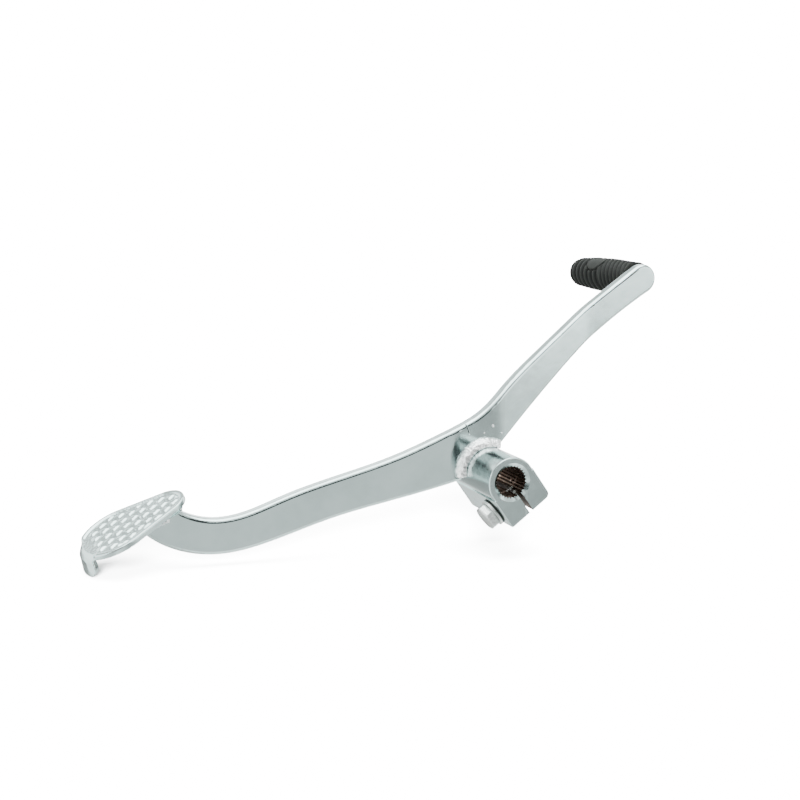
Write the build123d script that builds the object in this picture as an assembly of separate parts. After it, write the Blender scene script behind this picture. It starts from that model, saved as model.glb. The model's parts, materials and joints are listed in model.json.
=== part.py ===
from build123d import *
import math
import os

# Heel-and-toe gear shift lever.  Millimetres, +Z up.
# Origin: on the axis of the serrated bore, where its teeth begin on the engine side.
# Every depth below is measured in +Y from the hub's engine-side end face.
# +X runs to the toe peg (front), +Y runs away from the engine, +Z is up.

# ---- hub ----
hub_radius = 10.2
hub_length = 36.5
ear_half_width = 10.5
ear_root = 1.5
ear_end = 15.8
ear_angle = 35.2
ear_corner_front = 2.4
ear_corner_rear = 1.0
slit_width = 1.8
slit_start = 5.0
hub_edge_round = 0.5

# ---- serrated bore ----
tooth_count = 30
tooth_tip_radius = 6.35
tooth_root_radius = 7.0
tooth_gap_angle = 7.2
bore_mouth_radius = 7.9
bore_chamfer_depth = 1.1
groove_margin = 0.3
cut_margin = 1.0

# ---- pinch bolt, M6 ----
bolt_offset = 9.5
bolt_depth = 9.4
bolt_radius = 3.0
bolt_length = 20.0
bolt_tip_chamfer = 0.7
bolt_hole_radius = 3.08
head_flats = 10.0
head_height = 3.9
head_crown_radius = 4.84
head_crown_angle = 51.0
washer_outer_radius = 5.9
washer_inner_radius = 3.1
washer_thickness = 1.5
washer_split = 1.2

# ---- flat bar of the lever arm ----
bar_thickness = 6.0
bar_face_y = 24.0
heel_bend_x = -14.0
toe_bend_x = 6.0
heel_splay = 8.0
toe_splay = 12.0
toe_straight_x = 54.0
bar_bend_radius = 30.0
bar_edge_round = 1.6
bar_round_from_x = -137.0
hub_notch_radius = 11.2
arm_height_clear = 120.0
heel_reach = 165.0
toe_reach = 110.0
toe_end_x = 81.8
toe_end_z = 76.0
toe_end_radius = 6.4
toe_end_slope = 34.0
heel_top = [(-131.0, -3.2), (-122.0, -10.2), (-113.0, -13.0), (-102.0, -12.4), (-84.0, -6.2), (-37.0, 8.2)]
vertex_top = [(-12.0, 18.6), (-3.0, 22.9)]
toe_top = [(10.0, 33.7), (28.0, 47.1), (54.0, 65.0)]
toe_under = [(58.0, 52.9), (31.6, 31.7), (10.4, 12.8)]
vertex_under = (-5.5, -2.2)
heel_under = [(-37.0, -9.9), (-66.0, -16.6), (-90.0, -24.2), (-110.0, -27.7), (-128.0, -24.0), (-143.0, -11.5)]

# ---- hub weld bead ----
weld_leg_out = 3.6
weld_leg_up = 4.0
weld_root_depth = 3.0
weld_start_angle = 61.0
weld_sweep = 128.0
weld_bulge = 0.7

# ---- heel pad ----
pad_center = (-145.0, 49.6, -14.7)
pad_pitch = 25.0
pad_roll = 8.0
pad_thickness = 2.4
pad_clear_width = 90.0
pad_clear_height = 60.0
pad_wide_radius = 15.8
pad_wide_x = -3.6
pad_narrow_radius = 9.5
pad_narrow_x = 16.5
pad_edge_round = 0.5
lip_depth = 9.4
lip_near_angle = 36.0
lip_far_angle = 24.0
lip_flare_angle = 13.0
lip_corner_radius = 4.0
knurl_pitch = 4.3
knurl_depth = 0.6
knurl_angle = 32.0
knurl_wall_angle = 45.0
knurl_reach = 40.0
knurl_margin = 2.6
knurl_lines = 8
pad_weld_leg = 1.8
pad_weld_lean = 0.7
pad_weld_width = 6.4
pad_weld_round = 1.4

# ---- toe peg and its rubber ----
tenon_radius = 4.0
tenon_depth = 4.0
peg_radius = 4.5
peg_length = 43.0
peg_collar_radius = 5.8
peg_collar_length = 1.5
peg_tip_chamfer = 0.8
rubber_radius = 6.9
rubber_foot_radius = 6.6
rubber_taper_length = 16.0
rib_height = 0.9
rib_root = 0.4
rib_width = 2.3
rib_pitch = 3.9
rib_count = 11
rubber_length = 50.0
rubber_end_round = 5.5

gamma = math.radians(ear_angle)
ear_dir = (math.sin(gamma), -math.cos(gamma))
bolt_dir = (-math.cos(gamma), -math.sin(gamma))


def along(distance_ear, distance_bolt):
    """Point in the X-Z section from the distances along the ears and along the bolt."""
    x = distance_ear * ear_dir[0] + distance_bolt * bolt_dir[0]
    z = distance_ear * ear_dir[1] + distance_bolt * bolt_dir[1]
    return (x, z)


def section(y_value):
    """Plane parallel to X-Z at the given Y, local y = world Z, normal = -Y."""
    return Plane(origin=(0, y_value, 0), x_dir=(1, 0, 0), z_dir=(0, -1, 0))


def bolt_plane(distance):
    """Plane square to the pinch bolt at a distance along its axis, normal pointing to the head."""
    x, z = along(bolt_offset, distance)
    return Plane(origin=(x, bolt_depth, z), x_dir=(0, 1, 0), z_dir=(bolt_dir[0], 0, bolt_dir[1]))


def make_hub():
    with BuildPart() as hub:
        with BuildSketch(section(0)):
            Circle(hub_radius)
            with BuildLine():
                Polyline(
                    along(ear_root, ear_half_width),
                    along(ear_end, ear_half_width),
                    along(ear_end, -ear_half_width),
                    along(ear_root, -ear_half_width),
                    close=True,
                )
            make_face()
        extrude(amount=-hub_length)
        for side, radius in ((-ear_half_width, ear_corner_front), (ear_half_width, ear_corner_rear)):
            x, z = along(ear_end, side)
            corner = hub.edges().filter_by(Axis.Y).sort_by_distance((x, hub_length / 2, z))[0]
            fillet(corner, radius)
        rims = hub.faces().sort_by(Axis.Y)
        fillet(rims[0].edges() + rims[-1].edges(), hub_edge_round)
        # serrated bore: tip cylinder, then one groove between each pair of teeth
        with BuildSketch(section(0)):
            Circle(tooth_tip_radius)
        extrude(amount=-hub_length, mode=Mode.SUBTRACT)
        half_gap = math.radians(tooth_gap_angle / 2)
        inner = tooth_tip_radius - groove_margin
        mouth = tooth_tip_radius * math.tan(half_gap)
        with BuildSketch() as groove:
            with BuildLine():
                Polyline(
                    (inner, -mouth),
                    (tooth_tip_radius, -mouth),
                    (tooth_root_radius, 0),
                    (tooth_tip_radius, mouth),
                    (inner, mouth),
                    close=True,
                )
            make_face()
        with BuildSketch(section(0)):
            with PolarLocations(0, tooth_count, start_angle=ear_angle - 90):
                add(groove.sketch)
        extrude(amount=-hub_length, mode=Mode.SUBTRACT)
        # lead-in chamfer at both mouths of the bore
        slope = (bore_mouth_radius - tooth_tip_radius) / bore_chamfer_depth
        deep = bore_mouth_radius / slope
        for y_value, side in ((0, 1), (hub_length, -1)):
            mouth_plane = Plane(origin=(0, y_value, 0), x_dir=(1, 0, 0), z_dir=(0, side, 0))
            with Locations(mouth_plane):
                Cone(bore_mouth_radius, 0, deep, align=(Align.CENTER, Align.CENTER, Align.MIN), mode=Mode.SUBTRACT)
        # slit between the two ears
        with BuildSketch(section(0)):
            with BuildLine():
                Polyline(
                    along(slit_start, slit_width / 2),
                    along(ear_end + cut_margin, slit_width / 2),
                    along(ear_end + cut_margin, -slit_width / 2),
                    along(slit_start, -slit_width / 2),
                    close=True,
                )
            make_face()
        extrude(amount=-hub_length, mode=Mode.SUBTRACT)
        # cross hole of the pinch bolt
        with BuildSketch(bolt_plane(ear_half_width + cut_margin)):
            Circle(bolt_hole_radius)
        extrude(amount=-2 * (ear_half_width + cut_margin), mode=Mode.SUBTRACT)
    return hub.part


def make_bolt():
    head_plane = bolt_plane(ear_half_width + washer_thickness)
    with BuildPart() as bolt:
        with BuildSketch(head_plane):
            RegularPolygon(head_flats / 2, 6, major_radius=False)
        extrude(amount=head_height)
        # the crown of the hexagon is turned to a cone
        cone_foot = head_crown_radius + head_height * math.tan(math.radians(head_crown_angle))
        with Locations(head_plane):
            Cone(
                cone_foot,
                head_crown_radius,
                head_height,
                align=(Align.CENTER, Align.CENTER, Align.MIN),
                mode=Mode.INTERSECT,
            )
        with BuildSketch(head_plane):
            Circle(bolt_radius)
        extrude(amount=-bolt_length)
        tip = bolt.faces().sort_by(Axis(head_plane.origin, head_plane.z_dir))[0]
        chamfer(tip.edges(), bolt_tip_chamfer)
    return bolt.part


def make_washer():
    with BuildPart() as washer:
        with BuildSketch(bolt_plane(ear_half_width)):
            Circle(washer_outer_radius)
            Circle(washer_inner_radius, mode=Mode.SUBTRACT)
            with Locations((washer_outer_radius, 0)):
                Rectangle(washer_outer_radius, washer_split, mode=Mode.SUBTRACT)
        extrude(amount=washer_thickness)
    return washer.part


def offset_path(points, distance):
    """The same path pushed sideways (+Y) by a distance, mitred at its corners."""
    turns = [math.atan2(q[1] - p[1], q[0] - p[0]) for p, q in zip(points, points[1:])]
    before = [turns[0]] + turns
    after = turns + [turns[-1]]
    shifted = []
    for (x, y), first, second in zip(points, before, after):
        middle = (first + second) / 2
        reach = distance / math.cos((second - first) / 2)
        shifted.append((x - reach * math.sin(middle), y + reach * math.cos(middle)))
    return shifted


def toe_point(angle):
    """Point on the round toe end at an angle from +X."""
    turned = math.radians(angle)
    return (toe_end_x + toe_end_radius * math.cos(turned), toe_end_z + toe_end_radius * math.sin(turned))


def strip_path():
    """Inner face of the strip seen from above, from the heel end to the toe end."""
    heel_slope = math.tan(math.radians(heel_splay))
    toe_slope = math.tan(math.radians(toe_splay))
    toe_y = bar_face_y + (toe_straight_x - toe_bend_x) * toe_slope
    return [
        (-heel_reach, bar_face_y + (heel_reach + heel_bend_x) * heel_slope),
        (heel_bend_x, bar_face_y),
        (toe_bend_x, bar_face_y),
        (toe_straight_x, toe_y),
        (toe_reach, toe_y),
    ]


def toe_face_y():
    """Y of the outer face of the straight toe end."""
    return strip_path()[-1][1] + bar_thickness


def make_bar():
    inner = strip_path()
    outer = offset_path(inner, bar_thickness)
    with BuildPart() as bar:
        # the bent strip seen from above
        with BuildSketch(Plane.XY.offset(-arm_height_clear)):
            with BuildLine():
                near = FilletPolyline(*inner, radius=bar_bend_radius)
                far = FilletPolyline(*outer, radius=bar_bend_radius)
                Line(near @ 0, far @ 0)
                Line(near @ 1, far @ 1)
            make_face()
        extrude(amount=2 * arm_height_clear)
        # the side outline of the lever
        top_end = toe_point(90 + toe_end_slope)
        under_end = toe_point(toe_end_slope - 90)
        with BuildSketch(section(0)):
            with BuildLine():
                Spline(*heel_top, *vertex_top, *toe_top, top_end)
                ThreePointArc(top_end, toe_point(toe_end_slope), under_end)
                Spline(under_end, *toe_under, vertex_under)
                Spline(vertex_under, *heel_under)
                Line(heel_under[-1], heel_top[0])
            make_face()
        extrude(amount=-2 * heel_reach, mode=Mode.INTERSECT)
        long_edges = bar.edges().filter_by(Axis.Z, reverse=True).filter_by(Axis.Y, reverse=True)
        rounded = long_edges.filter_by_position(Axis.X, bar_round_from_x, toe_reach)
        fillet(rounded, bar_edge_round)
        # notch for the hub in the lower edge
        with BuildSketch(section(0)):
            Circle(hub_notch_radius)
        extrude(amount=-2 * bar_face_y, mode=Mode.SUBTRACT)
        # heel end dressed to the underside of the pad
        with Locations(pad_plane()):
            with Locations((0, 0, -pad_thickness)):
                Box(
                    pad_clear_width,
                    pad_clear_width,
                    pad_clear_height,
                    align=(Align.CENTER, Align.CENTER, Align.MIN),
                    mode=Mode.SUBTRACT,
                )
        # blind hole for the tenon of the toe peg
        with BuildSketch(section(toe_face_y())):
            with Locations((toe_end_x, toe_end_z)):
                Circle(tenon_radius)
        extrude(amount=tenon_depth, mode=Mode.SUBTRACT)
    return bar.part


def pad_plane():
    """Frame of the pad: x along the pad towards the toe, y across it, z out of its tread."""
    pitch = math.radians(pad_pitch)
    roll = math.radians(pad_roll)
    length_dir = Vector(math.cos(pitch), 0, math.sin(pitch))
    upright = Vector(-math.sin(pitch), 0, math.cos(pitch))
    normal = upright * math.cos(roll) - Vector(0, 1, 0) * math.sin(roll)
    return Plane(origin=pad_center, x_dir=length_dir, z_dir=normal)


def egg_outline():
    """Egg shape: two circles and their outer tangents."""
    step = pad_narrow_x - pad_wide_x
    lean = math.degrees(math.acos((pad_wide_radius - pad_narrow_radius) / step))
    with BuildSketch() as egg:
        with BuildLine():
            wide = CenterArc((pad_wide_x, 0), pad_wide_radius, lean, 360 - 2 * lean)
            narrow = CenterArc((pad_narrow_x, 0), pad_narrow_radius, -lean, 2 * lean)
            Line(wide @ 0, narrow @ 1)
            Line(wide @ 1, narrow @ 0)
        make_face()
    return egg.sketch


def make_lip():
    """Flared lip turned down round the wide end of the pad, with rounded lower corners."""
    flare = lip_depth * math.tan(math.radians(lip_flare_angle))
    with BuildPart() as lip:
        with BuildSketch(Plane(origin=(pad_wide_x, 0, 0), x_dir=(1, 0, 0), z_dir=(0, -1, 0))):
            with BuildLine():
                Polyline(
                    (-pad_wide_radius, 0),
                    (-pad_wide_radius - flare, -lip_depth),
                    (-pad_wide_radius - flare + pad_thickness, -lip_depth),
                    (-pad_wide_radius + pad_thickness, 0),
                    close=True,
                )
            make_face()
        revolve(axis=Axis((pad_wide_x, 0, 0), (0, 0, 1)), revolution_arc=lip_near_angle + lip_far_angle)
    turned = lip.part.rotate(Axis((pad_wide_x, 0, 0), (0, 0, 1)), -lip_far_angle)
    low = turned.edges().filter_by(GeomType.LINE).group_by(Axis.Z)[0]
    return turned.fillet(lip_corner_radius, low)


def make_pad():
    """Heel pad in its own frame: tread in the plane z = 0."""
    with BuildPart() as pad:
        add(egg_outline())
        extrude(amount=-pad_thickness)
        add(make_lip())
        rim = pad.faces().sort_by(Axis.Z)[-1].edges()
        fillet(rim, pad_edge_round)
        # knurl: two crossing sets of V grooves inside a plain margin
        with BuildPart(mode=Mode.PRIVATE) as grooves:
            for turn in (-knurl_angle, knurl_angle):
                for i in range(-knurl_lines, knurl_lines + 1):
                    with BuildSketch(Plane.YZ.rotated((0, 0, turn)).offset(-knurl_reach)):
                        with Locations((i * knurl_pitch, 0)):
                            Triangle(a=2 * knurl_depth, B=knurl_wall_angle, C=knurl_wall_angle, rotation=180)
                    extrude(amount=2 * knurl_reach)
            with BuildSketch():
                add(egg_outline())
                offset(amount=-knurl_margin, mode=Mode.REPLACE)
            extrude(amount=-2 * knurl_depth, mode=Mode.INTERSECT)
        add(grooves.part, mode=Mode.SUBTRACT)
    return pad.part


def make_pad_weld(bar):
    """Fillet bead all round the dressed end of the bar, under the pad."""
    plane = pad_plane()
    under = Plane(origin=plane.origin - plane.z_dir * pad_thickness, x_dir=plane.x_dir, z_dir=plane.z_dir)
    splay = math.radians(heel_splay)
    face_line = under.to_local_coords(plane.z_dir.cross(Vector(math.sin(splay), math.cos(splay), 0)) + under.origin)
    turn = math.degrees(math.atan2(face_line.Y, face_line.X))
    end_face = under.to_local_coords(bar.faces().sort_by_distance(under.origin)[0])
    middle = end_face.bounding_box().center()
    length = end_face.bounding_box().size.X
    with BuildPart() as bead:
        with BuildSketch(Plane.XY):
            with Locations(Location((middle.X, middle.Y), turn)):
                RectangleRounded(length + 2 * pad_weld_leg, pad_weld_width + 2 * pad_weld_leg, pad_weld_leg)
        with BuildSketch(Plane.XY.offset(-pad_weld_leg)):
            with Locations(Location((middle.X + pad_weld_lean, middle.Y), turn)):
                RectangleRounded(length, pad_weld_width, pad_weld_round)
        loft()
        with BuildSketch(Plane.XY):
            add(egg_outline())
        extrude(amount=-2 * pad_weld_leg, mode=Mode.INTERSECT)
    return under * bead.part - bar


def make_hub_weld():
    """Bead in the corner between the hub and the inner face of the bar."""
    with BuildPart() as bead:
        with BuildSketch(Plane(origin=(0, bar_face_y, 0), x_dir=(1, 0, 0), z_dir=(0, 0, 1))):
            with BuildLine():
                foot = (hub_radius + weld_leg_out, 0)
                crest = (hub_radius, -weld_leg_up)
                middle = (hub_radius + weld_leg_out / 2 + weld_bulge, -weld_leg_up / 2 - weld_bulge)
                ThreePointArc(foot, middle, crest)
                Polyline(
                    crest,
                    (hub_radius, weld_root_depth),
                    (hub_notch_radius, weld_root_depth),
                    (hub_notch_radius, 0),
                    foot,
                )
            make_face()
        revolve(axis=Axis.Y, revolution_arc=weld_sweep)
    return bead.part.rotate(Axis.Y, -(weld_start_angle + weld_sweep))


def make_peg():
    """Steel peg: tenon, collar and pin in one turning."""
    seat = toe_face_y()
    with BuildPart() as peg:
        steps = (
            (tenon_radius, seat - tenon_depth, tenon_depth),
            (peg_collar_radius, seat, peg_collar_length),
            (peg_radius, seat + peg_collar_length, peg_length - peg_collar_length),
        )
        for radius, y_value, length in steps:
            with BuildSketch(section(y_value)):
                with Locations((toe_end_x, toe_end_z)):
                    Circle(radius)
            extrude(amount=-length)
        chamfer(peg.faces().sort_by(Axis.Y)[-1].edges(), peg_tip_chamfer)
    return peg.part


def make_rubber():
    """Ribbed rubber sleeve with a blind round end, turned about the peg axis."""
    seat = toe_face_y()
    with BuildPart() as rubber:
        with BuildSketch(Plane(origin=(toe_end_x, seat, toe_end_z), x_dir=(1, 0, 0), z_dir=(0, 0, 1))):
            with BuildLine():
                Polyline(
                    (0, peg_length),
                    (peg_radius, peg_length),
                    (peg_radius, peg_collar_length),
                    (peg_collar_radius, peg_collar_length),
                    (peg_collar_radius, 0),
                    (rubber_foot_radius, 0),
                    (rubber_radius, rubber_taper_length),
                    (rubber_radius, rubber_length),
                    (0, rubber_length),
                    close=True,
                )
            make_face()
            first = rib_width / 2
            for i in range(rib_count):
                with Locations((rubber_radius + (rib_height - rib_root) / 2, first + i * rib_pitch)):
                    Rectangle(rib_height + rib_root, rib_width)
        revolve(axis=Axis((toe_end_x, 0, toe_end_z), (0, 1, 0)))
        fillet(rubber.faces().sort_by(Axis.Y)[-1].edges(), rubber_end_round)
    return rubber.part


bar = make_bar()
parts = {
    "lever_arm": bar,
    "clamp_hub": make_hub(),
    "hub_weld": make_hub_weld(),
    "heel_pad": pad_plane() * make_pad(),
    "pad_weld": make_pad_weld(bar),
    "toe_peg": make_peg(),
    "toe_rubber": make_rubber(),
    "pinch_bolt": make_bolt(),
    "lock_washer": make_washer(),
}
os.makedirs("parts", exist_ok=True)
to_origin = Pos(0, -bore_chamfer_depth, 0)
for name, solid in parts.items():
    placed = to_origin * solid
    placed.label = name
    export_step(placed, f"parts/{name}.step")
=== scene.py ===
import json
import math

import bmesh
import bpy
from mathutils import Matrix, Vector, noise


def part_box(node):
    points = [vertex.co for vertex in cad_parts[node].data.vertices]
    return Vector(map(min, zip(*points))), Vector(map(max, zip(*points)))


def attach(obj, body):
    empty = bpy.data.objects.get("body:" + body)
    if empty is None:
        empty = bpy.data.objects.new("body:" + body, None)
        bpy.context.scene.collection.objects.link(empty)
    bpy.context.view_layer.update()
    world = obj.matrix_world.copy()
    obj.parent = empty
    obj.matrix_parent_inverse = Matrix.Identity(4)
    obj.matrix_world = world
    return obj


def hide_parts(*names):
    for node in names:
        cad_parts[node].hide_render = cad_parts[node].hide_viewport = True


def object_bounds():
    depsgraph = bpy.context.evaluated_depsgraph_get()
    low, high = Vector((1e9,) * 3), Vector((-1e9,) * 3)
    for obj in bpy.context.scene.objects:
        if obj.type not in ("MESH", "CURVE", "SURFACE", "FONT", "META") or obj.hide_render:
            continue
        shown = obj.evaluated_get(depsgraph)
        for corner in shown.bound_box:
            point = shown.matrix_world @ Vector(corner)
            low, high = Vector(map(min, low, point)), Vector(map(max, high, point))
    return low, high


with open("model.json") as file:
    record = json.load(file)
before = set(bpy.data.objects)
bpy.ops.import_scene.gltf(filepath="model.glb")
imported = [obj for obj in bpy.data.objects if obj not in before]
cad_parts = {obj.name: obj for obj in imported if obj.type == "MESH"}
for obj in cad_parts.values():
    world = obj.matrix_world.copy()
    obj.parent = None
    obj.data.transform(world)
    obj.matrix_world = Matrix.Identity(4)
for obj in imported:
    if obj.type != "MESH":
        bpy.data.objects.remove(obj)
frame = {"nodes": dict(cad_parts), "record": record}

MM = 0.001
CAD_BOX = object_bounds()

# ---------------------------------------------------------------- driving values (mm, degrees)
# the view: the camera is turned round the middle of the bore's engine-side mouth
VIEW_AZIMUTH = -22.4
VIEW_ELEVATION = 10.2
VIEW_DISTANCE = 456.9
VIEW_AIM_RIGHT = -44.66
VIEW_AIM_UP = 32.82
VIEW_LENS = 51.75
MOUTH_DEPTH = 1.1

# brightness of the white background, and what the tent adds to the floor
WHITE = 17.0
SKY_ON_FLOOR = 2.4
FLOOR_ALBEDO = 0.9
FLOOR_HALF = 8.0
DOME_RADIUS = FLOOR_HALF * 0.98
# name, tilt from overhead, turn, share of the floor's light, apparent size in degrees
FLOOR_LIGHTS = (
    ("ceiling", 0.0, 0.0, 0.45, 50.0),
    ("window", 68.0, VIEW_AZIMUTH, 0.55, 26.0),
)

# the mirrored room, by direction: sideways is x over the reach forward, z is up; the first two
# numbers are where a soft edge starts and ends, the next two what it leads from and to, which is
# a brightness everywhere but in ROOM_CEILING, where it is a height
ROOM_SHARE = 0.02
ROOM_LEFT = (-1.3, -0.9)
ROOM_RIGHT = (0.30, 0.42)
ROOM_AHEAD = (-0.30, -0.12)
ROOM_CEILING = (0.03, 0.24, 0.42, 0.86)
ROOM_CEILING_SOFT = 0.05
ROOM_BELOW = 0.13
ROOM_BELOW_RIGHT = (-0.36, -0.24)
HORIZON = (-0.015, 0.03)
TABLE_LEVEL = 1.22
TABLE_DIP = 0.52
TABLE_DIP_LEFT = (0.22, 0.42)
TABLE_DIP_RIGHT = (0.65, 1.15)
TABLE_SIDE = (0.85, 1.3, 0.0, 0.40)
TABLE_FAR = (-0.17, -0.07)
TABLE_FAR_SIDE = (0.40, 0.60, 0.0, 2.2)
TABLE_NEAR = (-0.85, -0.35, 1.1, 0.0)
TABLE_LEFT = (-0.35, -0.20, 0.6, 1.0)
TABLE_BEHIND = (-0.15, 0.45, 1.0, 0.75)
TABLE_EDGE_LIGHT = (-0.80, -0.50, 2.4, 0.0)
TENT_WALL = (0.36, 0.52, 3.4, 1.25)
TENT_OVERHEAD = (0.74, 0.92, 0.0, 7.0)
TENT_DARK_SIDE = (0.90, 0.97, 1.0, 0.08)
TENT_COLOR = (0.965, 1.0, 0.99, 1)

# colours
PLATE_TINT = (0.545, 0.655, 0.648)
WELD_TINT = (0.96, 0.97, 0.97)
ZINC_TINT = (0.70, 0.73, 0.715)
BARE_BROWN = (0.100, 0.060, 0.038, 1)
BARE_PALE = (0.62, 0.47, 0.41, 1)
# painted shade in the crease of the bar above the hub
CREASE_PAINTED_SHADE = (0.05, 0.055, 0.055, 1)
# painted shade in the gap where the washer bears on the ear
WASHER_PAINTED_SHADE = (0.03, 0.03, 0.028, 1)
RUBBER_DARK = (0.0065, 0.0080, 0.0068, 1)
RUBBER_WORN = (0.0120, 0.0138, 0.0122, 1)
# painted shade down in the rubber's grooves
RUBBER_GROOVE_SHADE = (0.0012, 0.0014, 0.0012, 1)

# bore and slit
BORE_ROOT = 7.0
SLIT_HALF = 0.9
# how far past the bore and the slit the bare steel fades out, and where it starts along the slit
BORE_FADE = (0.05, 0.15)
SLIT_FADE = (0.02, 0.12)
SLIT_START = (4.5, 5.5)
# faces that look along the bore stay plated
END_FACE = (0.15, 0.35)

# pinch bolt: its axis and place come from the record's joint
BOLT_JOINT = next(j for j in frame["record"]["behaviour"]["joints"] if j["name"] == "bolt_turn")
BOLT_AXIS = Vector(BOLT_JOINT["axis"]).normalized()
BOLT_AT = Vector(BOLT_JOINT["pos_m"]) / MM
BOLT_RADIUS = 3.0
BOLT_LENGTH = 20.0
BOLT_TIP = 0.7
THREAD_PITCH = 1.0
THREAD_DEPTH = 0.55
THREAD_STEP = 0.1
THREAD_CREST = 0.7
BOLT_COLUMNS = 96
HEAD_FOOT = 12.0
HEAD_FLATS = 10.0
HEAD_HEIGHT = 3.9
HEAD_CORNER = 0.35
HEAD_CORNER_FROM = 0.40
# share of the head's height and how far in its side stands there
HEAD_SIDE = ((0.0, 0.25), (0.22, 0.0), (0.5, 0.0), (0.75, 0.0))
HEAD_TOP_RINGS = (1.0, 0.93, 0.86, 0.72, 0.5, 0.25)
HEAD_CROWN = 4.6
HEAD_CROWN_SLOPE = 0.55
HEAD_CROWN_DROP = 0.06
HEAD_DISH = 0.35
HEAD_DISH_EDGE = (2.2, 3.6)
WASHER_OUTER = 5.9
WASHER_INNER = 3.1
WASHER_THICK = 1.5
WASHER_SPLIT = 1.2
WASHER_CORNER = 0.22
WASHER_ROWS = 90

# toe rubber
RUBBER_ROWS = 300
RUBBER_COLUMNS = 144
PEG_COLLAR = 5.8
RUBBER_FOOT = 7.2
RUBBER_OVER = 7.78
RUBBER_TAPER = 20.0
RUBBER_SLIM = 1.1
RUBBER_SLIM_FROM = 27.0
RUBBER_NOSE = 5.5
RUBBER_NOSE_DROP = 5.6
RUBBER_GROOVE = 1.6
RUBBER_PLAIN_NOSE = (0.8, 3.0)
RUBBER_PLAIN_FOOT = (0.0, 0.8)
RUBBER_PITCH = 3.8
RUBBER_BOW = 2.6
RUBBER_FINE_PITCH = 2.9
RUBBER_FINE_END = 20.0
RUBBER_FINE_SWAY = 3.2
RUBBER_FINE_SHARE = 0.75
GROOVE_NAME = "groove_depth"
RUBBER_PAD_TURN = math.radians(124)
RUBBER_PAD_AT = 27.0
RUBBER_PAD_LONG = 6.4
RUBBER_PAD_WIDE = math.radians(38)
RUBBER_PAD_EDGE = (0.86, 0.98)
RUBBER_PAD_BORDER = 1.04
RUBBER_PAD_BORDER_WIDE = 0.07
RUBBER_PAD_SUNK = 0.14

# heel pad
PAD_VOXEL = 0.32
PAD_CENTER = (-145.0, 48.5, -14.7)
PAD_PITCH = 25.0
PAD_ROLL = 8.0
PAD_WIDE = 15.8
PAD_WIDE_X = -3.6
PAD_NARROW = 9.5
PAD_NARROW_X = 16.5
LIP_NEAR = 36.0
LIP_FAR = 24.0
LIP_FLARE = 13.0
NOSE_BEND = 6.0
KNURL_PITCH = 4.3
KNURL_ANGLE = 32.0
KNURL_MARGIN = 2.3
KNURL_NOSE_X = -13.0
KNURL_RISE = 0.55
KNURL_DEEPEST = 1.2
KNURL_FLANK = (0.10, 0.62)
KNURL_START = 0.9
KNURL_GRAIN = 0.08

# weld beads; lumps are (how many per mm, how high)
HUB_WELD_VOXEL = 0.30
PAD_WELD_VOXEL = 0.26
HUB_LUMPS = ((0.28, 1.1), (0.9, 0.8), (2.3, 0.35))
PAD_LUMPS = ((0.5, 0.5), (1.6, 0.35))
BEAD_RADIUS = 12.0
CREASE = ((-7.25, 15.2), (-9.1, 20.0))
CREASE_Y = 26.0
CREASE_HALF = (0.10, 0.36)
CREASE_DEPTH = 0.25
RIPPLE_PITCH = 1.5
BEAD_RELIEF = 0.30
BEAD_ROOT = 3.0
# x, z and size of each bead of spatter
SPATTER = ((3.3, 18.2, 0.62), (7.5, 14.9, 0.38), (-0.6, 15.4, 0.34))
SPATTER_FLAT = 0.55
SPATTER_UNEVEN = 0.25


def mm(*values):
    """Lengths in mm turned to the scene's metres."""
    return [value * MM for value in values]


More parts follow.
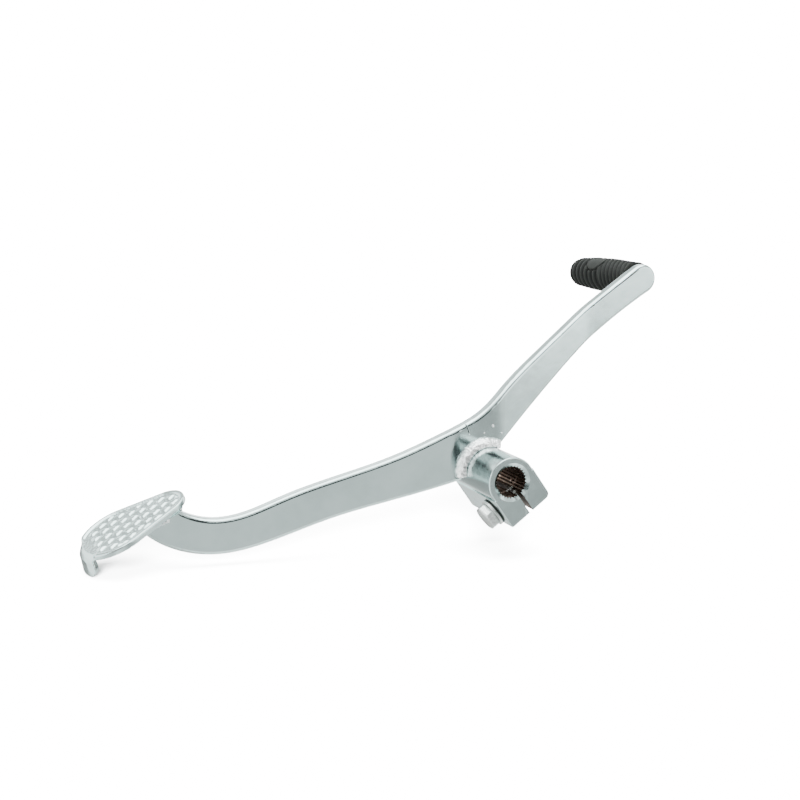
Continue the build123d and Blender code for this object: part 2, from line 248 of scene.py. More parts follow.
# ---------------------------------------------------------------- node helpers
class Graph:
    """Short spellings for building one node tree."""

    def __init__(self, tree):
        self.tree = tree

    def node(self, kind, **settings):
        made = self.tree.nodes.new(kind)
        for key, value in settings.items():
            setattr(made, key, value)
        return made

    def link(self, output, socket):
        self.tree.links.new(output, socket)

    def put(self, socket, value):
        if hasattr(value, "links"):
            self.link(value, socket)
        else:
            socket.default_value = value

    def math(self, operation, first, second=0.0):
        made = self.node("ShaderNodeMath", operation=operation)
        for socket, value in zip(made.inputs, (first, second)):
            self.put(socket, value)
        return made.outputs[0]

    def weigh(self, first, share, second, other):
        """first times its share plus second times its own."""
        return self.math("ADD", self.math("MULTIPLY", first, share), self.math("MULTIPLY", second, other))

    def ramp(self, value, low, high, start=0.0, end=1.0):
        """Runs softly from start to end while the value goes from low to high."""
        made = self.node("ShaderNodeMapRange", interpolation_type="SMOOTHSTEP")
        names = ("Value", "From Min", "From Max", "To Min", "To Max")
        for key, number in zip(names, (value, low, high, start, end)):
            self.put(made.inputs[key], number)
        return made.outputs[0]

    def mix(self, factor, first, second):
        made = self.node("ShaderNodeMix", data_type="RGBA")
        self.put(made.inputs[0], factor)
        self.put(made.inputs[6], first)
        self.put(made.inputs[7], second)
        return made.outputs[2]

    def place(self):
        return self.node("ShaderNodeTexCoord").outputs["Object"]

    def split(self, vector):
        made = self.node("ShaderNodeSeparateXYZ")
        self.link(vector, made.inputs[0])
        return made.outputs

    def cover(self, shader, mask, color):
        """Covers the shader's color with another one where the mask is 1."""
        was = shader.inputs["Base Color"].links[0].from_socket
        self.link(self.mix(mask, was, color), shader.inputs["Base Color"])

    def stretch(self, vector, scale, turn=(0, 0, 0)):
        made = self.node("ShaderNodeMapping")
        self.put(made.inputs["Vector"], vector)
        made.inputs["Scale"].default_value = scale
        made.inputs["Rotation"].default_value = turn
        return made.outputs[0]

    def noise(self, vector, size, detail=3.0, rough=0.55, seed=0.0):
        """Noise with features of the given size in mm."""
        made = self.node("ShaderNodeTexNoise", noise_dimensions="4D")
        self.put(made.inputs["Vector"], vector)
        made.inputs["W"].default_value = seed
        made.inputs["Scale"].default_value = 1 / (size * MM)
        made.inputs["Detail"].default_value = detail
        made.inputs["Roughness"].default_value = rough
        return made.outputs["Fac"]

    def bump(self, height, depth, normal=None):
        """Bump of the given depth in mm for a height that runs from 0 to 1."""
        made = self.node("ShaderNodeBump")
        made.inputs["Strength"].default_value = 1.0
        made.inputs["Distance"].default_value = depth * MM
        self.put(made.inputs["Height"], height)
        if normal is not None:
            self.link(normal, made.inputs["Normal"])
        return made.outputs[0]


def opened(material):
    """Graph and main shader of a material."""
    return Graph(material.node_tree), material.node_tree.nodes["Principled BSDF"]


def shade(name):
    """New material with its graph and its main shader."""
    material = bpy.data.materials.new(name)
    material.use_nodes = True
    return (material, *opened(material))


# ---------------------------------------------------------------- view, floor and light
def make_camera():
    """Camera turned and shifted to the picture's view."""
    azimuth = math.radians(VIEW_AZIMUTH)
    elevation = math.radians(VIEW_ELEVATION)
    flat = math.cos(elevation)
    back = Vector((math.sin(azimuth) * flat, -math.cos(azimuth) * flat, math.sin(elevation)))
    right = Vector((math.cos(azimuth), math.sin(azimuth), 0))
    up = back.cross(right)
    data = bpy.data.cameras.new("camera")
    data.lens = VIEW_LENS
    data.sensor_width = 36.0
    data.clip_start = 0.01
    camera = bpy.data.objects.new("camera", data)
    bpy.context.scene.collection.objects.link(camera)
    mouth = Vector((0, -MOUTH_DEPTH, 0))
    place = mouth + back * VIEW_DISTANCE + right * VIEW_AIM_RIGHT + up * VIEW_AIM_UP
    turn = Matrix((right, up, back)).transposed()
    camera.matrix_world = Matrix.Translation(place * MM) @ turn.to_4x4()
    bpy.context.scene.camera = camera


def new_object(name, points, faces, smooth=True):
    mesh = bpy.data.meshes.new(name)
    mesh.from_pydata(points, [], faces)
    mesh.validate()
    mesh.polygons.foreach_set("use_smooth", [smooth] * len(mesh.polygons))
    made = bpy.data.objects.new(name, mesh)
    bpy.context.scene.collection.objects.link(made)
    return made


def make_floor():
    """White paper that shows itself and its shadow but sends no light to the part."""
    low = CAD_BOX[0][2]
    half = FLOOR_HALF
    corners = [(-half, -half, low), (half, -half, low), (half, half, low), (-half, half, low)]
    floor = new_object("floor", corners, [(0, 1, 2, 3)], False)
    material, graph, shader = shade("floor_paper")
    grain = graph.noise(graph.place(), 900.0, 2.0)
    dull = (FLOOR_ALBEDO - 0.01,) * 3 + (1,)
    pale = (FLOOR_ALBEDO,) * 3 + (1,)
    graph.link(graph.mix(grain, dull, pale), shader.inputs["Base Color"])
    shader.inputs["Roughness"].default_value = 1.0
    shader.inputs["Specular IOR Level"].default_value = 0.0
    floor.data.materials.append(material)
    floor.visible_glossy = False
    floor.visible_diffuse = False
    return floor


def make_backdrop():
    """Plain white dome behind everything, seen only directly."""
    mesh = bpy.data.meshes.new("backdrop")
    shell = bmesh.new()
    bmesh.ops.create_uvsphere(shell, u_segments=48, v_segments=24, radius=DOME_RADIUS)
    shell.to_mesh(mesh)
    shell.free()
    dome = bpy.data.objects.new("backdrop", mesh)
    bpy.context.scene.collection.objects.link(dome)
    material = bpy.data.materials.new("backdrop_paper")
    material.use_nodes = True
    graph = Graph(material.node_tree)
    for old in list(material.node_tree.nodes):
        material.node_tree.nodes.remove(old)
    glow = graph.node("ShaderNodeEmission")
    glow.inputs["Color"].default_value = (1, 1, 1, 1)
    glow.inputs["Strength"].default_value = WHITE + SKY_ON_FLOOR
    graph.link(glow.outputs[0], graph.node("ShaderNodeOutputMaterial").inputs["Surface"])
    mesh.materials.append(material)
    for kind in ("glossy", "diffuse", "transmission", "volume_scatter", "shadow"):
        setattr(dome, "visible_" + kind, False)


def make_floor_lights(floor):
    """Very large soft lights that light only the floor, so the part throws its soft shadow."""
    only_floor = bpy.data.collections.new("lit_by_ceiling")
    only_floor.objects.link(floor)
    for name, tilt, turn, share, angle in FLOOR_LIGHTS:
        data = bpy.data.lights.new(name, "SUN")
        data.angle = math.radians(angle)
        data.energy = WHITE * math.pi / FLOOR_ALBEDO * share / math.cos(math.radians(tilt))
        light = bpy.data.objects.new(name, data)
        light.rotation_euler = (math.radians(tilt), 0, math.radians(turn))
        bpy.context.scene.collection.objects.link(light)
        light.light_linking.receiver_collection = only_floor


def dark_room(graph, sideways, y, z):
    """1 where the dark room in front of the tent shows, over the table's edge and under the ceiling light."""
    left = graph.ramp(sideways, *ROOM_LEFT)
    right = graph.ramp(sideways, *ROOM_RIGHT, 1.0, 0.0)
    ahead = graph.ramp(y, *ROOM_AHEAD, 1.0, 0.0)
    above = graph.math("SUBTRACT", z, graph.ramp(sideways, *ROOM_CEILING))
    low = graph.ramp(above, -ROOM_CEILING_SOFT, ROOM_CEILING_SOFT, 1.0, 0.0)
    return graph.math("MULTIPLY", graph.math("MULTIPLY", left, right), graph.math("MULTIPLY", ahead, low))


def table_light(graph, sideways, x, y, z):
    """The pale table: a little darker ahead to the right, brighter far off and near the tent's side."""
    dip_left = graph.ramp(sideways, *TABLE_DIP_LEFT)
    dip = graph.math("MULTIPLY", dip_left, graph.ramp(sideways, *TABLE_DIP_RIGHT, 1.0, 0.0))
    level = graph.math("SUBTRACT", TABLE_LEVEL, graph.math("MULTIPLY", dip, TABLE_DIP))
    level = graph.math("ADD", level, graph.ramp(sideways, *TABLE_SIDE))
    far = graph.math("MULTIPLY", graph.ramp(z, *TABLE_FAR), graph.ramp(sideways, *TABLE_FAR_SIDE))
    level = graph.math("ADD", level, graph.math("ADD", far, graph.ramp(z, *TABLE_NEAR)))
    level = graph.math("MULTIPLY", level, graph.ramp(sideways, *TABLE_LEFT))
    level = graph.math("MULTIPLY", level, graph.ramp(y, *TABLE_BEHIND))
    return graph.math("ADD", level, graph.ramp(x, *TABLE_EDGE_LIGHT))


def tent_light(graph, z):
    """The tent's wall, bright low down and dimmer above, with the light overhead."""
    return graph.math("ADD", graph.ramp(z, *TENT_WALL), graph.ramp(z, *TENT_OVERHEAD))


def make_world():
    """What the plating mirrors: tent behind and overhead, dark room in front, pale table below."""
    world = bpy.data.worlds.new("tent")
    world.use_nodes = True
    graph = Graph(world.node_tree)
    x, y, z = graph.split(graph.node("ShaderNodeTexCoord").outputs["Generated"])
    forward = graph.math("MAXIMUM", graph.math("MULTIPLY", y, -1.0), 0.001)
    sideways = graph.math("DIVIDE", x, forward)
    dark = dark_room(graph, sideways, y, z)
    upper = graph.math("MULTIPLY", tent_light(graph, z), graph.ramp(dark, 0.0, 1.0, 1.0, ROOM_SHARE))
    lower = table_light(graph, sideways, x, y, z)
    below = graph.ramp(sideways, *ROOM_LEFT, 0.0, ROOM_BELOW)
    edge = graph.math("MULTIPLY", below, graph.ramp(sideways, *ROOM_BELOW_RIGHT, 1.0, 0.0))
    strength = graph.node("ShaderNodeMix", data_type="FLOAT")
    graph.link(graph.ramp(graph.math("ADD", z, edge), *HORIZON), strength.inputs[0])
    graph.link(lower, strength.inputs[2])
    graph.link(upper, strength.inputs[3])
    total = graph.math("MULTIPLY", strength.outputs[0], graph.ramp(x, *TENT_DARK_SIDE))
    paper = world.node_tree.nodes["Background"]
    paper.inputs["Color"].default_value = TENT_COLOR
    graph.link(total, paper.inputs["Strength"])
    bpy.context.scene.world = world


# ---------------------------------------------------------------- materials
def plated_steel(name, tint, rough, ripple=0.010, seed=0.0):
    """Bright plating: slow waviness, fine polishing lines, small pits and uneven gloss."""
    material, graph, shader = shade(name)
    place = graph.place()
    shader.inputs["Metallic"].default_value = 1.0
    cloud = graph.noise(place, 22.0, 3.0, 0.6, seed)
    light = tuple(min(1.0, c * 1.05) for c in tint) + (1,)
    dark = tuple(c * 0.90 for c in tint) + (1,)
    graph.link(graph.mix(graph.ramp(cloud, 0.3, 0.7), dark, light), shader.inputs["Base Color"])
    lines = graph.noise(graph.stretch(place, (0.06, 1.0, 1.0), (0, 0.25, 0)), 0.5, 2.0, 0.7, seed + 2)
    smear = graph.noise(place, 6.0, 4.0, 0.6, seed + 4)
    smeared = graph.ramp(smear, 0.3, 0.75, rough * 0.8, rough * 1.5)
    gloss = graph.math("ADD", smeared, graph.ramp(lines, 0.5, 0.8, 0.0, 0.06))
    graph.link(gloss, shader.inputs["Roughness"])
    slow = graph.noise(place, 9.0, 2.0, 0.5, seed + 6)
    grain = graph.noise(place, 0.8, 3.0, 0.6, seed + 8)
    first = graph.bump(slow, ripple * 9)
    second = graph.bump(grain, ripple * 0.25, first)
    graph.link(graph.bump(lines, ripple * 0.15, second), shader.inputs["Normal"])
    return material


def rubber_black(name):
    """Dull black rubber, with painted shade that makes it darker down in its grooves."""
    material, graph, shader = shade(name)
    place = graph.place()
    cloud = graph.noise(place, 5.0, 4.0, 0.6)
    worn = graph.mix(cloud, RUBBER_DARK, RUBBER_WORN)
    depth = graph.node("ShaderNodeAttribute", attribute_name=GROOVE_NAME).outputs["Fac"]
    # painted shade: the deeper the groove, the darker the rubber
    graph.link(graph.mix(graph.ramp(depth, 0.15, 0.85), worn, RUBBER_GROOVE_SHADE), shader.inputs["Base Color"])
    shader.inputs["Specular IOR Level"].default_value = 0.22
    grain = graph.noise(place, 0.35, 3.0, 0.7, 3.0)
    graph.link(graph.ramp(grain, 0.2, 0.8, 0.55, 0.8), shader.inputs["Roughness"])
    graph.link(graph.bump(grain, 0.03), shader.inputs["Normal"])
    return material


def bore_steel(name):
    """Plated outside; bare brown steel on the teeth, in the grooves between them and in the slit."""
    material = plated_steel(name, PLATE_TINT, 0.15, seed=20.0)
    graph, shader = opened(material)
    place = graph.place()
    x, _, z = graph.split(place)
    radius = graph.math("SQRT", graph.weigh(x, x, z, z))
    in_bore = graph.ramp(radius, *mm(*(BORE_ROOT + fade for fade in BORE_FADE)), 1.0, 0.0)
    across = graph.weigh(x, BOLT_AXIS.x, z, BOLT_AXIS.z)
    down = graph.weigh(x, -BOLT_AXIS.z, z, BOLT_AXIS.x)
    off = graph.math("ABSOLUTE", across)
    slit = graph.ramp(off, *mm(*(SLIT_HALF + fade for fade in SLIT_FADE)), 1.0, 0.0)
    slit = graph.math("MULTIPLY", slit, graph.ramp(down, *mm(*SLIT_START)))
    facing = graph.split(graph.node("ShaderNodeTexCoord").outputs["Normal"])
    upright = graph.ramp(graph.math("ABSOLUTE", facing[1]), *END_FACE, 1.0, 0.0)
    bare = graph.math("MULTIPLY", graph.math("MAXIMUM", in_bore, slit), upright)
    patches = graph.ramp(graph.noise(place, 3.2, 4.0, 0.6, 31.0), 0.52, 0.68)
    graph.cover(shader, bare, graph.mix(patches, BARE_BROWN, BARE_PALE))
    gloss = shader.inputs["Roughness"].links[0].from_socket
    graph.link(graph.math("MAXIMUM", gloss, graph.math("MULTIPLY", bare, 0.42)), shader.inputs["Roughness"])
    return material


def rough_metal(name, tint, rough, grain_size, depth, seed):
    """Plated weld or forged zinc: pale, grainy, with dull hollows and bright crests painted in as shade and
    highlight.
    """
    material, graph, shader = shade(name)
    place = graph.place()
    shader.inputs["Metallic"].default_value = 1.0
    grain = graph.noise(place, grain_size, 5.0, 0.65, seed)
    fine = graph.noise(place, grain_size * 0.3, 3.0, 0.6, seed + 3)
    light = tint + (1,)
    dark = tuple(c * 0.72 for c in tint) + (1,)
    # painted shade and highlight: the colour follows the bump, darker in its hollows and paler on its crests
    graph.link(graph.mix(graph.ramp(grain, 0.3, 0.6), dark, light), shader.inputs["Base Color"])
    graph.link(graph.ramp(fine, 0.25, 0.75, rough * 0.7, rough * 1.5), shader.inputs["Roughness"])
    first = graph.bump(grain, depth)
    graph.link(graph.bump(fine, depth * 0.3, first), shader.inputs["Normal"])
    return material


def zinc_near_ear(name, tint):
    """Zinc with painted shade: a dark band where the washer bears on the ear."""
    material = rough_metal(name, tint, 0.32, 0.9, 0.03, 13.0)
    graph, shader = opened(material)
    x, _, z = graph.split(graph.place())
    along = graph.weigh(x, BOLT_AXIS.x, z, BOLT_AXIS.z)
    start = HEAD_FOOT - WASHER_THICK
    # painted shade: the washer's side next to the ear is coloured dark
    washer_shade = graph.ramp(along, *mm(start + 0.45, start + 0.75), 1.0, 0.0)
    graph.cover(shader, washer_shade, WASHER_PAINTED_SHADE)
    return material


def arm_steel(name):
    """Plating of the bar, with the fine crease that bending left above the hub: a sunk line coloured dark as
    painted shade.
    """
    material = plated_steel(name, PLATE_TINT, 0.12)
    graph, shader = opened(material)
    x, y, z = graph.split(graph.place())
    low, high = Vector(CREASE[0]), Vector(CREASE[1])
    way = (high - low).normalized()
    across = graph.weigh(x, way.y, z, -way.x)
    off = graph.math("ABSOLUTE", graph.math("SUBTRACT", across, (low.x * way.y - low.y * way.x) * MM))
    near = graph.math("LESS_THAN", y, CREASE_Y * MM)
    start = graph.ramp(z, *mm(low.y, low.y + 1.2))
    end = graph.ramp(z, *mm(high.y - 0.8, high.y), 1.0, 0.0)
    inside = graph.math("MULTIPLY", near, graph.math("MULTIPLY", start, end))
    line = graph.math("MULTIPLY", graph.ramp(off, *mm(*CREASE_HALF), 1.0, 0.0), inside)
    # painted shade: the crease's line is coloured dark; the bump below sinks it
    graph.cover(shader, line, CREASE_PAINTED_SHADE)
    normal = shader.inputs["Normal"].links[0].from_socket
    graph.link(graph.bump(graph.math("SUBTRACT", 1.0, line), CREASE_DEPTH, normal), shader.inputs["Normal"])
    return material


# ---------------------------------------------------------------- pieces
def wave(position):
    """0 in the middle of a groove, 1 in the middle of a rib, once per unit."""
    return 0.5 - 0.5 * math.cos(2 * math.pi * position)


def smooth_step(value, low, high):
    """0 up to low and 1 from high, with a soft rise between them."""
    t = min(1.0, max(0.0, (value - low) / (high - low)))
    return t * t * (3 - 2 * t)


def grid_faces(rows, columns):
    """Quads of a grid of points stored row by row, closed round its columns."""
    faces = []
    for row in range(rows - 1):
        for column in range(columns):
            after = (column + 1) % columns
            first, second = row * columns, (row + 1) * columns
            faces.append((first + column, first + after, second + after, second + column))
    return faces


def remeshed(node, name, voxel):
    """New object: the CAD solid's shape as an even mesh with softened edges."""
    piece = bpy.data.objects.new(name, frame["nodes"][node].data.copy())
    bpy.context.scene.collection.objects.link(piece)
    modifier = piece.modifiers.new("even", "REMESH")
    modifier.mode = "VOXEL"
    modifier.voxel_size = voxel * MM
    bpy.context.view_layer.update()
    even = bpy.data.meshes.new_from_object(piece.evaluated_get(bpy.context.evaluated_depsgraph_get()))
    piece.modifiers.clear()
    piece.data = even
    even.materials.clear()
    even.polygons.foreach_set("use_smooth", [True] * len(even.polygons))
    return piece


def settle(piece, body, node, material):
    """Puts a piece on its body, in place of a CAD node if one is named and material."""
    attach(piece, body)
    if node:
        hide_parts(node)
    piece.data.materials.clear()
    piece.data.materials.append(material)


# ---- toe rubber
def rubber_profile(t, length):
    """Radius over the ribs at a distance from the foot."""
    crown = RUBBER_FOOT + (RUBBER_OVER - RUBBER_FOOT) * smooth_step(t, 0, RUBBER_TAPER)
    crown -= RUBBER_SLIM * smooth_step(t, RUBBER_SLIM_FROM, length)
    left = length - t
    if left < RUBBER_NOSE:
        crown -= RUBBER_NOSE_DROP * (1 - math.sqrt(max(0.0, 1 - (1 - left / RUBBER_NOSE) ** 2)))
    return crown


def rubber_relief(t, angle):
    """Depth of the grooves below the ribs' crest: 0 on a rib, 1 at a groove's bottom."""
    top = math.cos(angle - RUBBER_PAD_TURN)
    bow = RUBBER_BOW * (1 - top) / 2
    coarse = (1 - wave((t + bow) / RUBBER_PITCH)) ** 2.2
    sway = RUBBER_FINE_SWAY * math.sin(angle - RUBBER_PAD_TURN)
    fine = (1 - wave((t + sway) / RUBBER_FINE_PITCH)) ** 2.0 * RUBBER_FINE_SHARE
    share = smooth_step(t, RUBBER_FINE_END - 1.5, RUBBER_FINE_END + 1.5)
    relief = coarse * share + fine * (1 - share)
    turn = math.remainder(angle - RUBBER_PAD_TURN, 2 * math.pi)
    oval = math.hypot((t - RUBBER_PAD_AT) / RUBBER_PAD_LONG, turn / RUBBER_PAD_WIDE)
    inside = 1 - smooth_step(oval, *RUBBER_PAD_EDGE)
    border = math.exp(-((oval - RUBBER_PAD_BORDER) / RUBBER_PAD_BORDER_WIDE) ** 2)
    return max(relief * (1 - inside), border * 0.9) * (1 - inside * 0.8) + RUBBER_PAD_SUNK * inside


def round_point(middle, radius, angle, y):
    """Point in metres at a radius round a line along y."""
    return (middle.x + radius * math.cos(angle)) * MM, y * MM, (middle.z + radius * math.sin(angle)) * MM


def make_rubber(material):
    low, high = (corner / MM for corner in map(Vector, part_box("toe_rubber")))
    middle = (low + high) / 2
    length = high.y - low.y
    columns = RUBBER_COLUMNS
    angles = [2 * math.pi * column / columns for column in range(columns)]
    points = []
    reliefs = []
    for row in range(RUBBER_ROWS):
        t = length * row / (RUBBER_ROWS - 1)
        over = rubber_profile(t, length)
        grooved = smooth_step(length - t, *RUBBER_PLAIN_NOSE) * smooth_step(t, *RUBBER_PLAIN_FOOT)
        depth = RUBBER_GROOVE * grooved
        for angle in angles:
            relief = rubber_relief(t, angle)
            reliefs.append(relief)
            points.append(round_point(middle, over - depth * relief, angle, low.y + t))
    faces = grid_faces(RUBBER_ROWS, columns)
    points.append((middle.x * MM, high.y * MM, middle.z * MM))
    last = (RUBBER_ROWS - 1) * columns
    faces += [(last + c, last + (c + 1) % columns, len(points) - 1) for c in range(columns)]
    # the foot is closed by a short collar that runs in to the peg
    inner = len(points)
    points += [round_point(middle, PEG_COLLAR, angle, low.y) for angle in angles]
    for column in range(columns):
        after = (column + 1) % columns
        faces.append((inner + column, inner + after, after, column))
    faces.append(tuple(range(inner + columns - 1, inner - 1, -1)))
    piece = new_object("rubber_sleeve", points, faces)
    reliefs += [0.0] * (len(points) - len(reliefs))
    piece.data.attributes.new(GROOVE_NAME, "FLOAT", "POINT").data.foreach_set("value", reliefs)
    settle(piece, "lever", "toe_rubber", material)
    return piece


# ---- heel pad
def pad_frame():
    """From the pad's own axes (x towards the toe, z out of its tread) to the part's."""
    pitch = math.radians(PAD_PITCH)
    roll = math.radians(PAD_ROLL)
    along = Vector((math.cos(pitch), 0, math.sin(pitch)))
    upright = Vector((-math.sin(pitch), 0, math.cos(pitch)))
    normal = upright * math.cos(roll) - Vector((0, 1, 0)) * math.sin(roll)
    across = normal.cross(along)
    turn = Matrix((along, across, normal)).transposed()
    return Matrix.Translation(Vector(PAD_CENTER)) @ turn.to_4x4()


def egg_distance(x, y):
    """Distance outside the pad's egg outline, negative inside it."""
    span = PAD_NARROW_X - PAD_WIDE_X
    lean = (PAD_WIDE - PAD_NARROW) / span
    side = math.sqrt(1 - lean * lean)
    px, py = abs(y), x - PAD_WIDE_X
    k = -lean * px + side * py
    if k < 0:
        return math.hypot(px, py) - PAD_WIDE
    if k > side * span:
        return math.hypot(px, py - span) - PAD_NARROW
    return px * side + py * lean - PAD_WIDE


def knurl_height(x, y):
    """Raised diamonds with rounded tops inside the plain margin."""
    turn = math.radians(KNURL_ANGLE)
    first = (x * math.sin(turn) + y * math.cos(turn)) / KNURL_PITCH
    second = (-x * math.sin(turn) + y * math.cos(turn)) / KNURL_PITCH
    off = max(abs(math.remainder(first, 1)), abs(math.remainder(second, 1))) * 2
    bump = smooth_step(1 - off, *KNURL_FLANK)
    inside = smooth_step(-egg_distance(x, y), KNURL_MARGIN - 0.3, KNURL_MARGIN + 0.9)
    nose = smooth_step(x, KNURL_NOSE_X - 0.6, KNURL_NOSE_X + 1.2)
    return bump * inside * nose


def round_nose(local):
    """Rolls the tread over into the lip with a large bend round the heel end."""
    away = math.hypot(local.x - PAD_WIDE_X, local.y)
    turn = math.degrees(math.remainder(math.atan2(local.y, local.x - PAD_WIDE_X) - math.pi, 2 * math.pi))
    share = smooth_step(turn, -LIP_FAR - 14, -LIP_FAR + 2) * smooth_step(-turn, -LIP_NEAR - 9, -LIP_NEAR + 1)
    flare = NOSE_BEND * math.tan(math.radians(LIP_FLARE))
    middle = PAD_WIDE + flare - NOSE_BEND
    out, up = away - middle, local.z + NOSE_BEND
    if share == 0 or out <= 0 or up <= 0:
        return
    reach = math.hypot(out, up)
    if reach <= NOSE_BEND:
        return
    pull = 1 - (1 - NOSE_BEND / reach) * share
    new_away = middle + out * pull
    local.z = -NOSE_BEND + up * pull
    local.x = PAD_WIDE_X + (local.x - PAD_WIDE_X) * new_away / away
    local.y *= new_away / away


def make_pad(material):
    """The CAD pad with its lip rolled over and diamonds raised on its tread."""
    piece = remeshed("heel_pad", "heel_pad_tread", PAD_VOXEL)
    to_part = pad_frame()
    to_pad = to_part.inverted()
    for vertex in piece.data.vertices:
        local = to_pad @ (vertex.co / MM)
        round_nose(local)
        vertex.co = (to_part @ local) * MM
        inside = -egg_distance(local.x, local.y)
        if local.z > -KNURL_DEEPEST and inside > KNURL_MARGIN - KNURL_START:
            grain = noise.noise(Vector((local.x, local.y, 3.0)) * 1.3)
            worn = 0.9 + 0.3 * noise.noise(Vector((local.x, local.y, 9.0)) * 0.45)
            height = KNURL_RISE * worn * knurl_height(local.x, local.y)
            level = -KNURL_RISE + height + KNURL_GRAIN * grain
            blend = smooth_step(inside, KNURL_MARGIN - KNURL_START, KNURL_MARGIN)
            local.z = local.z * (1 - blend) + min(0.0, level) * blend
            vertex.co = (to_part @ local) * MM
    settle(piece, "lever", "heel_pad", material)
    return piece


# ---- weld beads
def lumps(place, kinds):
    """Uneven height of a weld at a place in mm."""
    return sum(high * noise.noise(place * often) for often, high in kinds)


def make_hub_weld(material):
    piece = remeshed("hub_weld", "weld_bead_hub", HUB_WELD_VOXEL)
    for vertex in piece.data.vertices:
        place = vertex.co / MM
        angle = math.atan2(place.z, place.x)
        ripple = 0.4 * wave((angle * BEAD_RADIUS + 1.2 * noise.noise(place * 0.4)) / RIPPLE_PITCH)
        vertex.co += vertex.normal * (BEAD_RELIEF * (ripple - 0.5 + lumps(place, HUB_LUMPS))) * MM
    settle(piece, "lever", "hub_weld", material)
    return piece


def make_pad_weld(material):
    piece = remeshed("pad_weld", "weld_bead_pad", PAD_WELD_VOXEL)
    for vertex in piece.data.vertices:
        place = vertex.co / MM
        ripple = wave(place.x / RIPPLE_PITCH)
        vertex.co += vertex.normal * (BEAD_RELIEF * 0.8 * (ripple - 0.9 + lumps(place, PAD_LUMPS))) * MM
    settle(piece, "lever", "pad_weld", material)
    return piece


def make_spatter(material):
    """Small beads of weld spatter thrown on to the inner face of the bar above the hub."""
    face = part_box("hub_weld")[1][1] / MM - BEAD_ROOT
    for index, (x, z, size) in enumerate(SPATTER):
        work = bmesh.new()
        bmesh.ops.create_icosphere(work, subdivisions=3, radius=size)
        for vertex in work.verts:
            vertex.co.y *= SPATTER_FLAT
            vertex.co *= 1 + SPATTER_UNEVEN * noise.noise(vertex.co * 2.0 + Vector((index, 0, 0)))
            vertex.co = (vertex.co + Vector((x, face, z))) * MM
        mesh = bpy.data.meshes.new(f"weld_spatter_{index}")
        work.to_mesh(mesh)
        work.free()
        mesh.polygons.foreach_set("use_smooth", [True] * len(mesh.polygons))
        piece = bpy.data.objects.new(f"weld_spatter_{index}", mesh)
        bpy.context.scene.collection.objects.link(piece)
        settle(piece, "lever", None, material)


# ---- pinch bolt and lock washer
def bolt_frame():
    """Origin on the bolt's axis in the middle of the slit, z towards the head."""
    across = Vector((0, 1, 0))
    turn = Matrix((across, BOLT_AXIS.cross(across), BOLT_AXIS)).transposed()
    return Matrix.Translation(BOLT_AT) @ turn.to_4x4()


def hexagon_radius(angle):
    """Radius of the bolt's head, a hexagon with slightly rounded corners."""
    turn = math.remainder(angle, math.pi / 3)
    sharp = HEAD_FLATS / 2 / math.cos(turn)
    corner = HEAD_FLATS / 2 / math.cos(math.pi / 6)
    return min(sharp, corner - HEAD_CORNER * smooth_step(abs(turn), HEAD_CORNER_FROM, math.pi / 6))


def ring_of(columns, point_at, *where):
    """One ring of points; where says which ring, and each point is found from its angle."""
    return [point_at(*where, 2 * math.pi * column / columns) for column in range(columns)]


def shank_point(s, angle):
    """Point of the threaded shank s mm along the bolt's axis, with a short cone at its tip."""
    depth = THREAD_DEPTH * (1 - wave(s / THREAD_PITCH - angle / (2 * math.pi)) ** THREAD_CREST)
    tip = max(0.0, BOLT_TIP - (s - (HEAD_FOOT - BOLT_LENGTH)))
    radius = min(BOLT_RADIUS - depth, BOLT_RADIUS - tip)
    return radius * math.cos(angle), radius * math.sin(angle), s


def side_point(level, inset, angle):
    """Point of the head's side."""
    radius = hexagon_radius(angle) - inset
    return radius * math.cos(angle), radius * math.sin(angle), HEAD_FOOT + level * HEAD_HEIGHT


def top_point(share, angle):
    """Point of the head's top, which falls off towards the corners and is dished in the middle."""
    radius = hexagon_radius(angle) * share
    x, y = radius * math.cos(angle), radius * math.sin(angle)
    drop = max(0.0, radius - HEAD_CROWN) * HEAD_CROWN_SLOPE
    dish = HEAD_DISH * (1 - smooth_step(radius, *HEAD_DISH_EDGE))
    rough = 0.05 * noise.noise(Vector((x, y, 1.0)) * 0.9)
    return x, y, HEAD_FOOT + HEAD_HEIGHT - HEAD_CROWN_DROP - drop - dish + rough


def make_bolt(material):
    to_part = bolt_frame()
    columns = BOLT_COLUMNS
    steps = int(BOLT_LENGTH / THREAD_STEP)
    rings = []
    for step in range(steps + 1):
        s = HEAD_FOOT - BOLT_LENGTH + BOLT_LENGTH * step / steps
        rings.append(ring_of(columns, shank_point, s))
    rings += [ring_of(columns, side_point, level, inset) for level, inset in HEAD_SIDE]
    rings += [ring_of(columns, top_point, share) for share in HEAD_TOP_RINGS]
    points = [to_part @ Vector(p) * MM for ring in rings for p in ring]
    faces = grid_faces(len(rings), columns)
    faces.append(tuple(reversed(range(columns))))
    faces.append(tuple((len(rings) - 1) * columns + c for c in range(columns)))
    piece = new_object("pinch_bolt_m6", points, faces)
    settle(piece, "bolt", "pinch_bolt", material)
    return piece


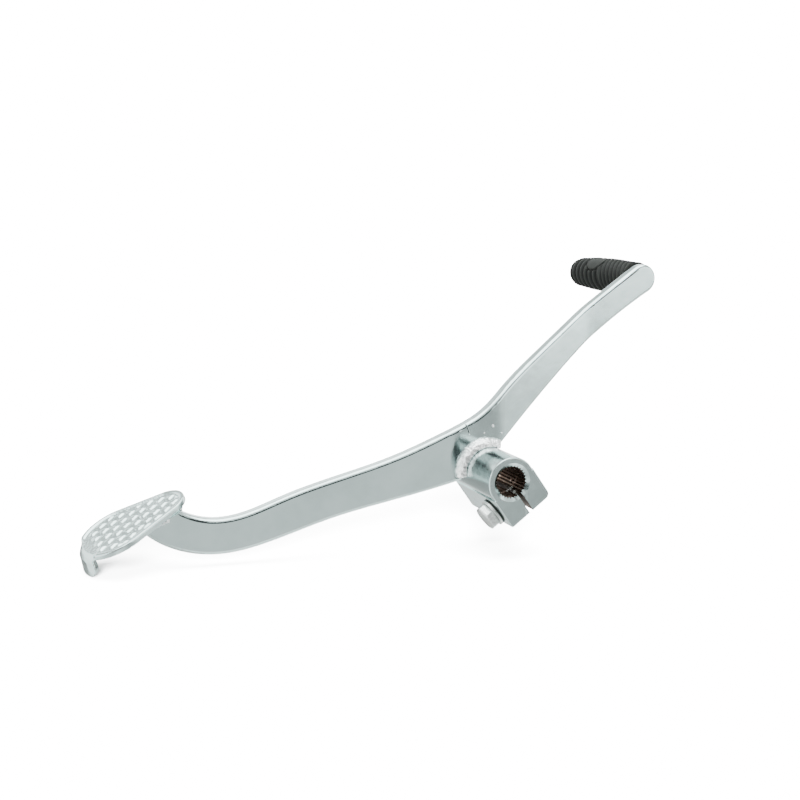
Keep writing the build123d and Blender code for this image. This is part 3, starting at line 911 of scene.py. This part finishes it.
def washer_section():
    """Rounded outline across the washer's ring, as radius and height."""
    half = WASHER_THICK / 2
    middle = (WASHER_INNER + WASHER_OUTER) / 2
    wide = (WASHER_OUTER - WASHER_INNER) / 2
    round_off = WASHER_CORNER
    section = []
    for cx, cz, start in ((wide, half, 0), (-wide, half, 90), (-wide, -half, 180), (wide, -half, 270)):
        for turn in (0, 30, 60, 90):
            angle = math.radians(start + turn)
            section.append((
                middle + cx - math.copysign(round_off, cx) + round_off * math.cos(angle),
                HEAD_FOOT - half + cz - math.copysign(round_off, cz) + round_off * math.sin(angle),
            ))
    return section


def make_washer(material):
    to_part = bolt_frame()
    gap = WASHER_SPLIT / WASHER_OUTER
    section = washer_section()
    points = []
    for row in range(WASHER_ROWS):
        angle = gap / 2 + (2 * math.pi - gap) * row / (WASHER_ROWS - 1)
        for radius, height in section:
            points.append(to_part @ Vector((radius * math.cos(angle), radius * math.sin(angle), height)) * MM)
    faces = grid_faces(WASHER_ROWS, len(section))
    faces.append(tuple(range(len(section) - 1, -1, -1)))
    faces.append(tuple((WASHER_ROWS - 1) * len(section) + c for c in range(len(section))))
    piece = new_object("lock_washer_split", points, faces)
    settle(piece, "washer", "lock_washer", material)
    return piece


def face_outward(piece):
    """Turn every face outward."""
    work = bmesh.new()
    work.from_mesh(piece.data)
    bmesh.ops.recalc_face_normals(work, faces=work.faces)
    work.to_mesh(piece.data)
    work.free()


# ---------------------------------------------------------------- the scene
make_camera()
floor = make_floor()
make_backdrop()
make_floor_lights(floor)
make_world()

plate = arm_steel("plate_arm")
pad_plate = plated_steel("plate_pad", PLATE_TINT, 0.20, seed=50.0)
bead = rough_metal("plate_weld", WELD_TINT, 0.32, 1.1, 0.10, 5.0)
zinc = rough_metal("zinc", ZINC_TINT, 0.32, 0.9, 0.03, 11.0)
for node in frame["nodes"].values():
    node.data.materials.clear()
    node.data.materials.append(plate)
frame["nodes"]["clamp_hub"].data.materials[0] = bore_steel("plate_hub")
rubber = rubber_black("rubber_black")
made = [
    make_rubber(rubber),
    make_pad(pad_plate),
    make_hub_weld(bead),
    make_pad_weld(bead),
    make_bolt(zinc),
    make_washer(zinc_near_ear("zinc_washer", ZINC_TINT)),
]
make_spatter(bead)

for piece in made:
    face_outward(piece)
